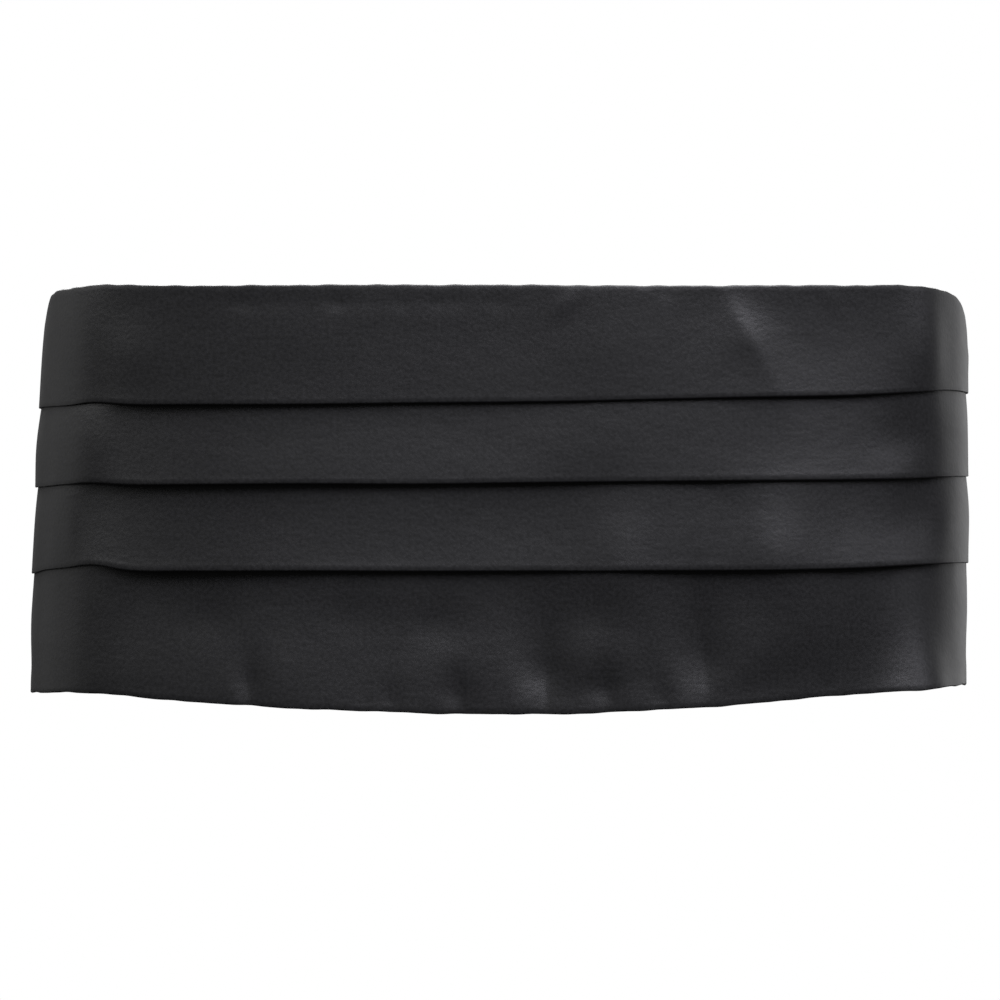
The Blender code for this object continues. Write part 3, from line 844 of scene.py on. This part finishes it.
# %% The path of a strap
STRAP_WIDTH = 0.0400
STRAP_THICKNESS = 0.0012
STRAP_HEIGHT = 0.0030
STRAP_UNDER_FACE = 0.0180
STRAP_RETURN = 0.0260
RETURN_EASE = 0.0080
SEAM_GAP = 0.0003
STRAP_STEP = 0.0030
LOOP_STEPS, EASE_STEPS, SEWN_STEPS = 16, 5, 6
WIRE_RADIUS = 0.0010
BAR_OUT = STRAP_THICKNESS + SEAM_GAP + WIRE_RADIUS
EYE_BARS = (-0.0125, -0.0025)
HOOK_BARS = (0.0030, 0.0125)
RETURN_OUT = STRAP_THICKNESS * 1.5 + SEAM_GAP


def strap_path(bar):
    """The strap's middle as (along, out), from under the face round its bar and back on itself."""
    start, turn_at = FACE_END - STRAP_UNDER_FACE, CENTRE_BACK - abs(bar)
    runs = np.linspace(start, turn_at, math.ceil((turn_at - start) / STRAP_STEP))[:-1]
    path = [(place, STRAP_THICKNESS / 2) for place in runs]
    radius = BAR_OUT - STRAP_THICKNESS / 2
    for turn in np.linspace(0.0, math.pi, LOOP_STEPS + 1):
        path.append((turn_at + radius * math.sin(turn), BAR_OUT - radius * math.cos(turn)))
    for share in np.linspace(0.0, 1.0, EASE_STEPS + 1)[1:]:
        out = BAR_OUT + radius + (RETURN_OUT - BAR_OUT - radius) * ease(share, 0.0, 1.0)
        path.append((turn_at - RETURN_EASE * share, out))
    for place in np.linspace(RETURN_EASE, STRAP_RETURN, SEWN_STEPS + 1)[1:]:
        path.append((turn_at - place, RETURN_OUT))
    return np.array(path)


LEFT_PATH, RIGHT_PATH = strap_path(EYE_BARS[0]), strap_path(HOOK_BARS[1])

# %% The webbing tree
RIB_PITCH, RIB_DEPTH, PROFILE_STEP = 0.0020, 0.00010, 0.00035


def measured(tree, curve, label):
    """A curve whose points carry the length up to them: (curve, length)."""
    carried = add(tree, "GeometryNodeCaptureAttribute", geometry=curve)
    carried.capture_items.new("FLOAT", label)
    tree.links.new(add(tree, "GeometryNodeSplineParameter").outputs["Length"], carried.inputs[1])
    return carried.outputs[0], carried.outputs[1]


def webbing_tree():
    """Sweep a ribbed rectangle along the piece's line, and store its flat cloth as a UV map."""
    tree, given, output = start_tree(
        "ribbed_webbing", ["Width", "Thickness", "Rib Pitch", "Rib Depth", "Profile Step"])
    line = add(tree, "GeometryNodeMeshToCurve", mesh=given["Geometry"])
    upright = add(tree, "GeometryNodeSetCurveNormal", mode="Z_UP", curve=line.outputs[0])
    path, along = measured(tree, upright.outputs[0], "Along")

    flat = add(tree, "GeometryNodeCurvePrimitiveQuadrilateral", width=given["Thickness"],
               height=given["Width"])
    fine = add(tree, "GeometryNodeResampleCurve", mode="LENGTH", curve=flat.outputs[0],
               length=given["Profile Step"])
    apart = add(tree, "ShaderNodeSeparateXYZ", vector=add(tree, "GeometryNodeInputPosition").outputs[0])
    ribs_up = maths(tree, "DIVIDE", apart.outputs["Y"], given["Rib Pitch"])
    wave = maths(tree, "COSINE", maths(tree, "MULTIPLY", ribs_up, 2 * math.pi))
    rib = maths(tree, "MULTIPLY", wave, maths(tree, "SIGN", apart.outputs["X"]))
    move = add(tree, "ShaderNodeCombineXYZ", x=maths(tree, "MULTIPLY", rib, given["Rib Depth"]))
    ribbed = add(tree, "GeometryNodeSetPosition", geometry=fine.outputs[0], offset=move.outputs[0])
    profile, around = measured(tree, ribbed.outputs[0], "Around")

    swept = add(tree, "GeometryNodeCurveToMesh", curve=path, profile_curve=profile, fill_caps=True)
    flat_place = add(tree, "ShaderNodeCombineXYZ", x=along, y=around)
    mapped = add(tree, "GeometryNodeStoreNamedAttribute", data_type="FLOAT2", domain="CORNER",
                 geometry=swept.outputs[0], value=flat_place.outputs[0])
    mapped.inputs["Name"].default_value = "UVMap"
    finish_tree(tree, mapped.outputs[0], given["Material"], output)
    return tree


def line_piece(name, points):
    """A piece that is only a line for now, for a tree to work along."""
    mesh = bpy.data.meshes.new(name)
    mesh.from_pydata([tuple(point) for point in points], [(n, n + 1) for n in range(len(points) - 1)], [])
    return shown(name, mesh)


WEBBING_TREE = webbing_tree()


def make_strap(name, side, path):
    """One strap: side is -1 for the left and 1 for the right, seen from the front."""
    points = on_waist(side * path[:, 0], path[:, 1], STRAP_HEIGHT)
    return run_tree(line_piece(name, points), WEBBING_TREE, {
        "Width": STRAP_WIDTH, "Thickness": STRAP_THICKNESS - 2 * RIB_DEPTH, "Rib Pitch": RIB_PITCH,
        "Rib Depth": RIB_DEPTH, "Profile Step": PROFILE_STEP, "Material": WEBBING})


left_strap = make_strap("strap_left_webbing", -1, LEFT_PATH)
right_strap = make_strap("strap_right_webbing", 1, RIGHT_PATH)

# %% [markdown]
# ## The hook and eye
# Both halves of the clasp are bent from one gauge of wire. A rectangle with filleted corners, swept with a
# round profile, is all that a frame needs. The hook is a flat tongue that is wrapped over its own bar and
# curls round the bar of the eye. It stays fastened, as the sash is worn.

# %% The wire frames
FRAME_INNER_HEIGHT = 0.0416
FRAME_CORNER, FRAME_CORNER_STEPS = 0.0020, 8
WIRE_SIDES = 20


def wire_frame_tree():
    """A rectangle of wire with round corners, standing in the plane that the back of the sash lies in."""
    tree, given, output = start_tree(
        "wire_frame", ["Width", "Height", "Corner", "Gauge"], ["Corner Steps", "Sides"], ["Place", "Turn"])
    flat = add(tree, "GeometryNodeCurvePrimitiveQuadrilateral", width=given["Width"], height=given["Height"])
    corners = add(tree, "GeometryNodeFilletCurve", mode="POLY", curve=flat.outputs[0],
                  count=given["Corner Steps"], radius=given["Corner"])
    spin = add(tree, "FunctionNodeEulerToRotation", euler=given["Turn"])
    placed = add(tree, "GeometryNodeTransform", geometry=corners.outputs[0], translation=given["Place"],
                 rotation=spin.outputs[0])
    profile = add(tree, "GeometryNodeCurvePrimitiveCircle", resolution=given["Sides"], radius=given["Gauge"])
    swept = add(tree, "GeometryNodeCurveToMesh", curve=placed.outputs[0], profile_curve=profile.outputs[0])
    finish_tree(tree, swept.outputs[0], given["Material"], output)
    return tree


WIRE_TREE = wire_frame_tree()


def make_frame(name, bars):
    """One wire frame, whose two upright bars are at the given places across the centre back."""
    place = ((bars[0] + bars[1]) / 2, WAIST_BACK_DEPTH + BAR_OUT, STRAP_HEIGHT)
    return run_tree(shown(name, bpy.data.meshes.new(name)), WIRE_TREE, {
        "Width": bars[1] - bars[0], "Height": FRAME_INNER_HEIGHT + 2 * WIRE_RADIUS, "Corner": FRAME_CORNER,
        "Corner Steps": FRAME_CORNER_STEPS, "Gauge": WIRE_RADIUS, "Sides": WIRE_SIDES, "Place": place,
        "Turn": (math.pi / 2, 0.0, 0.0), "Material": WIRE})


eye_frame = make_frame("clasp_eye_wire", EYE_BARS)
hook_frame = make_frame("clasp_hook_wire", HOOK_BARS)

# %% The tongue of the hook
HOOK_WIDTH, HOOK_THICKNESS, HOOK_CLEARANCE = 0.0160, 0.0008, 0.0005
HOOK_TURN, WRAP_TURN = math.radians(200), math.radians(250)
HOOK_STEPS, WIDTH_STEPS, EDGE_SEGMENTS = 14, 8, 2
TIP_NARROWS = 0.0030


def make_tongue():
    """The flat tongue, from its wrap round the hook's bar to its tip behind the eye's bar."""
    eye_bar, hook_bar = EYE_BARS[1], HOOK_BARS[0]
    wrap = WIRE_RADIUS + HOOK_THICKNESS / 2
    curl = WIRE_RADIUS + HOOK_CLEARANCE + HOOK_THICKNESS / 2
    path = []
    for turn in np.linspace(WRAP_TURN, 0.0, HOOK_STEPS):
        path.append((hook_bar + wrap * math.sin(turn), BAR_OUT + wrap * math.cos(turn)))
    for turn in np.linspace(0.0, HOOK_TURN, HOOK_STEPS):
        path.append((eye_bar - curl * math.sin(turn), BAR_OUT + curl * math.cos(turn)))
    path = np.array(path)
    lengths = lengths_along(path)
    narrow = TIP_NARROWS * np.clip(1.0 - (lengths[-1] - lengths) / TIP_NARROWS, 0.0, 1.0) ** 2
    shares = np.linspace(-1.0, 1.0, WIDTH_STEPS + 1)
    half = (HOOK_WIDTH / 2 - narrow)[:, None] * shares[None, :]
    across = np.repeat(path[:, :1], len(shares), axis=1)
    back = WAIST_BACK_DEPTH + np.repeat(path[:, 1:], len(shares), axis=1)
    points = np.stack([across, back, STRAP_HEIGHT + half], axis=-1)
    flat = np.stack([np.repeat(lengths[:, None], len(shares), axis=1), half], axis=-1)
    piece = shown("clasp_hook_tongue", net("clasp_hook_tongue", points, flat))
    add_wall(piece, HOOK_THICKNESS, even=False)
    soft = piece.modifiers.new("soft edges", "BEVEL")
    soft.width = HOOK_THICKNESS / 4
    soft.segments = EDGE_SEGMENTS
    soft.limit_method = "ANGLE"
    soft.angle_limit = SHARP_FROM
    settle(piece)
    set_material(piece, WIRE)
    return piece


hook_tongue = make_tongue()

# %% [markdown]
# ## Stitches
# The sewing holds the pleats flat at the two ends of the face, catches its turned-in edges and closes the
# loops of the straps. Each stitch is a short arc of thread that dips into the cloth at both ends. Python
# works out where the stitches go and which way they face, and a tree puts one arc on every point.

# %% The stitch tree
STITCH_LENGTH, STITCH_GAP, THREAD_RADIUS = 0.0021, 0.0008, 0.00014
STITCH_BOW, ARC_STEPS, THREAD_SIDES = 1.6, 5, 5
STITCH_SIZES, STITCH_SEED = (0.88, 1.08), 7


def stitch_tree():
    """Put a small arc of thread on each point, along its tangent and standing on its normal."""
    tree, given, output = start_tree("stitches", ["Length", "Rise", "Thread Radius"], ["Seed"])
    start, end = (add(tree, "ShaderNodeCombineXYZ", x=maths(tree, "MULTIPLY", given["Length"], side),
                      z=maths(tree, "MULTIPLY", given["Rise"], -1.0)) for side in (-0.5, 0.5))
    middle = add(tree, "ShaderNodeCombineXYZ", z=maths(tree, "MULTIPLY", given["Rise"], STITCH_BOW))
    arc = add(tree, "GeometryNodeCurveQuadraticBezier", resolution=ARC_STEPS, start=start.outputs[0],
              middle=middle.outputs[0], end=end.outputs[0])
    profile = add(tree, "GeometryNodeCurvePrimitiveCircle", resolution=THREAD_SIDES,
                  radius=given["Thread Radius"])
    one = add(tree, "GeometryNodeCurveToMesh", curve=arc.outputs[0], profile_curve=profile.outputs[0],
              fill_caps=True)
    points = add(tree, "GeometryNodeMeshToPoints", mesh=given["Geometry"])
    aligned = add(tree, "FunctionNodeAxesToRotation", primary_axis="X", secondary_axis="Z")
    for label, socket in zip(("tangent", "normal"), aligned.inputs):
        read = add(tree, "GeometryNodeInputNamedAttribute", data_type="FLOAT_VECTOR")
        read.inputs["Name"].default_value = label
        tree.links.new(read.outputs["Attribute"], socket)
    size = add(tree, "FunctionNodeRandomValue", data_type="FLOAT", min=STITCH_SIZES[0], max=STITCH_SIZES[1],
               seed=given["Seed"])
    placed = add(tree, "GeometryNodeInstanceOnPoints", points=points.outputs[0], instance=one.outputs[0],
                 rotation=aligned.outputs[0], scale=size.outputs[1])
    finish_tree(tree, placed.outputs[0], given["Material"], output)
    return tree


STITCH_TREE = stitch_tree()
print("stitch tree:", len(STITCH_TREE.nodes), "nodes")

# %% Stitches along a seam
def at_lengths(middles, lengths, values):
    """The values of a line at some lengths along it."""
    return np.stack([np.interp(middles, lengths, values[:, axis]) for axis in range(3)], axis=1)


def stitched(name, runs):
    """A piece of stitches. Each run is (points, normals) along a seam, and the stitches are spaced on it."""
    places, tangents, normals = [], [], []
    for points, faces in runs:
        lengths = lengths_along(points)
        count = max(1, round(lengths[-1] / (STITCH_LENGTH + STITCH_GAP)))
        middles = (np.arange(count) + 0.5) * lengths[-1] / count
        half = STITCH_LENGTH / 2
        at = [at_lengths(middles + step, lengths, points) for step in (-half, 0.0, half)]
        way = at[2] - at[0]
        places.append((at[0] + at[1] + at[2]) / 3)
        tangents.append(way / np.linalg.norm(way, axis=1)[:, None])
        normals.append(at_lengths(middles, lengths, faces))
    mesh = bpy.data.meshes.new(name)
    mesh.from_pydata(np.concatenate(places).tolist(), [], [])
    for label, vectors in (("tangent", tangents), ("normal", normals)):
        attribute = mesh.attributes.new(label, "FLOAT_VECTOR", "POINT")
        attribute.data.foreach_set("vector", np.concatenate(vectors).ravel().astype(np.float32))
    print(name, "stitches:", len(mesh.vertices))
    return run_tree(shown(name, mesh), STITCH_TREE, {
        "Length": STITCH_LENGTH, "Rise": THREAD_RADIUS, "Thread Radius": THREAD_RADIUS, "Seed": STITCH_SEED,
        "Material": THREAD})


def facing(along):
    """The waist's normal at some places, as 3-D vectors."""
    flat = [np.interp(along, ALONG, NORMALS[:, axis]) for axis in (0, 1)]
    return np.stack([*flat, np.zeros_like(np.asarray(along, float))], axis=-1)


print("a stitch every, mm:", round((STITCH_LENGTH + STITCH_GAP) / MM, 1))

# %% Rows of stitches on the face
END_ROWS = (0.003, 0.014)
ROW_STEPS, ROW_ABOVE_FOLD, ROW_BELOW_TOP = 8, 0.0006, 0.0012
CATCH_FROM_EDGE, CATCH_FROM_END = 0.0012, 0.004


def surface_out(along, height):
    """How far out the face's outer surface is at a place where a strip shows."""
    strips = strips_at(along)
    strip = next((each for each in strips if height >= each[1]), strips[-1])
    place, level = np.array([along]), np.array([height])
    moved = creased(place, level) - lean_in(place, level)
    return float(strip_out(strip, height) + moved[0] + CLOTH / 2)


def end_row(side, inset):
    """A row of stitches up one end of the face, strip by strip."""
    along = side * (FACE_END - inset)
    runs = []
    for top, bottom, *_ in strips_at(along):
        levels = np.linspace(bottom + ROW_ABOVE_FOLD, top - ROW_BELOW_TOP, ROW_STEPS)
        outs = np.array([surface_out(along, level) for level in levels])
        runs.append((on_waist(along, outs, levels), facing(np.full(len(levels), along))))
    return runs


def catch_row(low_edge):
    """Catch stitches inside the band, along the raw edge of the top's or the hem's turn-in."""
    inside = PLACES[np.abs(PLACES) < FACE_END - CATCH_FROM_END]
    rows = np.searchsorted(PLACES, inside)
    column = -1 if low_edge else 0
    level = height_grid[rows, column] + (-CATCH_FROM_EDGE if low_edge else CATCH_FROM_EDGE)
    points = on_waist(inside, out_grid[rows, column] - CLOTH / 2, level)
    return [(points, -facing(inside))]


face_runs = [run for side in (-1, 1) for inset in END_ROWS for run in end_row(side, inset)]
end_stitches = stitched("face_end_stitches", face_runs)
catch_stitches = stitched("face_catch_stitches", catch_row(False) + catch_row(True))

# %% Box stitches on the straps
BOX_EDGE, BOX_STEPS = 0.0030, 12
BOX_LENGTH = STRAP_RETURN - RETURN_EASE - 2 * BOX_EDGE


def box_stitch(side, path):
    """The runs of a box with a cross in it, on the sewn-down end of a strap."""
    last = path[-1, 0] + BOX_EDGE
    low, high = STRAP_HEIGHT - STRAP_WIDTH / 2 + BOX_EDGE, STRAP_HEIGHT + STRAP_WIDTH / 2 - BOX_EDGE
    corners = [(last, low), (last + BOX_LENGTH, low), (last + BOX_LENGTH, high), (last, high)]
    lines = [(corners[n], corners[(n + 1) % 4]) for n in range(4)]
    lines += [(corners[0], corners[2]), (corners[1], corners[3])]
    runs = []
    for start, end in lines:
        along = side * np.linspace(start[0], end[0], BOX_STEPS)
        level = np.linspace(start[1], end[1], BOX_STEPS)
        points = on_waist(along, RETURN_OUT + STRAP_THICKNESS / 2, level)
        runs.append((points, facing(along)))
    return runs


strap_stitches = stitched("strap_box_stitches", box_stitch(-1, LEFT_PATH) + box_stitch(1, RIGHT_PATH))

# %% [markdown]
# ## Hand the pieces over
# Each piece rides on the one body, and a piece that stands for a solid hides that solid.

# %% Ride and replace
for piece, nodes, slot in (
    (face, ["pleated_face"], "satin"),
    (left_strap, ["strap_left"], "webbing"),
    (right_strap, ["strap_right"], "webbing"),
    (eye_frame, ["clasp_eye"], "clasp_metal"),
    (hook_frame, ["clasp_hook"], "clasp_metal"),
    (hook_tongue, ["clasp_hook"], "clasp_metal"),
    (end_stitches, [], "satin"),
    (catch_stitches, [], "satin"),
    (strap_stitches, [], "webbing"),
):
    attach(piece, BODY)
    if nodes:
        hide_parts(*nodes)

print("pieces handed over")

# %% [markdown]
# ## Floor, light and camera
# Black satin shows nothing but its surroundings, so the light is most of the picture. A large soft box above
# gives each strip its slow rise in brightness and each fold its shadow. A second one, front right, lifts the
# right half. It is slightly cool, as is a small one at the right, and so the bright fans are faintly blue.
# The bright rims at the two ends are grazing reflections of soft boxes that stand behind the sash, and two
# more light its back, for views from behind.

# %% Floor and world
FLOOR_BELOW, FLOOR_RADIUS, FLOOR_SIDES = -0.45, 1.9, 96
PALE = (0.80, 0.80, 0.80)
WORLD_ABOVE, WORLD_BELOW, HORIZON = 0.07, 0.03, 0.35


def make_floor():
    """A plain pale disc, well under the sash."""
    angles = np.linspace(0.0, 2 * math.pi, FLOOR_SIDES + 1)[:-1]
    ring = [(FLOOR_RADIUS * math.cos(a), FLOOR_RADIUS * math.sin(a), FLOOR_BELOW) for a in angles]
    mesh = bpy.data.meshes.new("floor")
    mesh.from_pydata(ring, [], [list(range(len(ring)))])
    floor = shown("floor", mesh)
    set_material(floor, start_material("pale_floor", PALE, 0.9)[0])
    # A floor as large and pale as this would light the folds from below, so it gives the satin no light.
    floor.visible_diffuse = floor.visible_glossy = False


def make_world():
    """White where the camera looks past the sash, and a soft grey sky that darkens below for its light."""
    world = bpy.data.worlds.new("studio")
    bpy.context.scene.world = world
    world.use_nodes = True
    tree = world.node_tree
    tree.nodes.clear()
    up = add(tree, "ShaderNodeSeparateXYZ", vector=add(tree, "ShaderNodeTexCoord").outputs["Generated"])
    level = add(tree, "ShaderNodeMapRange", interpolation_type="SMOOTHSTEP", value=up.outputs["Z"],
                from_min=-HORIZON, from_max=HORIZON, to_min=WORLD_BELOW, to_max=WORLD_ABOVE)
    sky = add(tree, "ShaderNodeBackground", color=(1.0, 1.0, 1.0, 1.0), strength=level.outputs["Result"])
    white = add(tree, "ShaderNodeBackground", color=(1.0, 1.0, 1.0, 1.0))
    mix = add(tree, "ShaderNodeMixShader")
    past = add(tree, "ShaderNodeLightPath").outputs["Is Camera Ray"]
    for socket, value in zip(mix.inputs, (past, sky.outputs[0], white.outputs[0])):
        tree.links.new(value, socket)
    add(tree, "ShaderNodeOutputWorld", surface=mix.outputs[0])


make_floor()
make_world()
bpy.context.scene.view_settings.view_transform = "Standard"
print("floor and world ready")

# %% Soft boxes
COOL_WHITE, COOL_FROM_RIGHT = (0.99, 0.98, 1.08), ("front_right", "right")
# Name, azimuth, elevation, distance, width, height and power. Azimuth 0 is in front of the sash, and 90 is
# at its right.
LIGHTS = (
    ("overhead", 14, 60, 1.5, 2.0, 1.1, 34.0),
    ("front_right", 29, 37, 1.7, 1.2, 0.9, 19.0),
    ("front_left", 276, 28, 1.7, 1.3, 0.9, 6.0),
    ("right", 76, 28, 1.5, 0.8, 0.8, 2.6),
    ("left", 243, 14, 1.2, 0.8, 1.0, 0.6),
    ("behind_right", 143, 12, 1.3, 0.8, 1.0, 1.8),
    ("back", 178, 38, 1.5, 1.3, 0.9, 22.0),
    ("back_left", 206, 30, 1.6, 1.1, 0.8, 7.0),
)


def make_lights():
    """The soft boxes, each turned to the middle of the sash."""
    for name, azimuth, elevation, distance, width, height, power in LIGHTS:
        data = bpy.data.lights.new(name, "AREA")
        data.shape = "RECTANGLE"
        data.size, data.size_y, data.energy = width, height, power
        if name in COOL_FROM_RIGHT:
            data.color = COOL_WHITE
        turn, rise = math.radians(azimuth), math.radians(elevation)
        away = Vector((math.sin(turn) * math.cos(rise), -math.cos(turn) * math.cos(rise), math.sin(rise)))
        lamp = shown(name, data)
        lamp.location = away * distance
        lamp.rotation_euler = away.to_track_quat("Z", "Y").to_euler()
        lamp.visible_camera = False
        print("light", name, [round(side, 2) for side in lamp.location])


make_lights()

# %% Camera
PHOTO_SIDE = 1000
CAMERA_DISTANCE = 2.398
FOCAL_PIXELS = 7751
SENSOR = 36.0
NEAR, FAR = 0.1, 20.0


def make_camera():
    """A level camera straight in front, far enough away to flatten the sash as the photograph does."""
    data = bpy.data.cameras.new("camera")
    data.sensor_width = SENSOR
    data.lens = SENSOR * FOCAL_PIXELS / PHOTO_SIDE
    data.clip_start, data.clip_end = NEAR, FAR
    camera = shown("camera", data)
    camera.location = (0.0, -CAMERA_DISTANCE, 0.0)
    camera.rotation_euler = (math.pi / 2, 0.0, 0.0)
    bpy.context.scene.camera = camera
    print("lens, mm:", round(data.lens, 1))


make_camera()
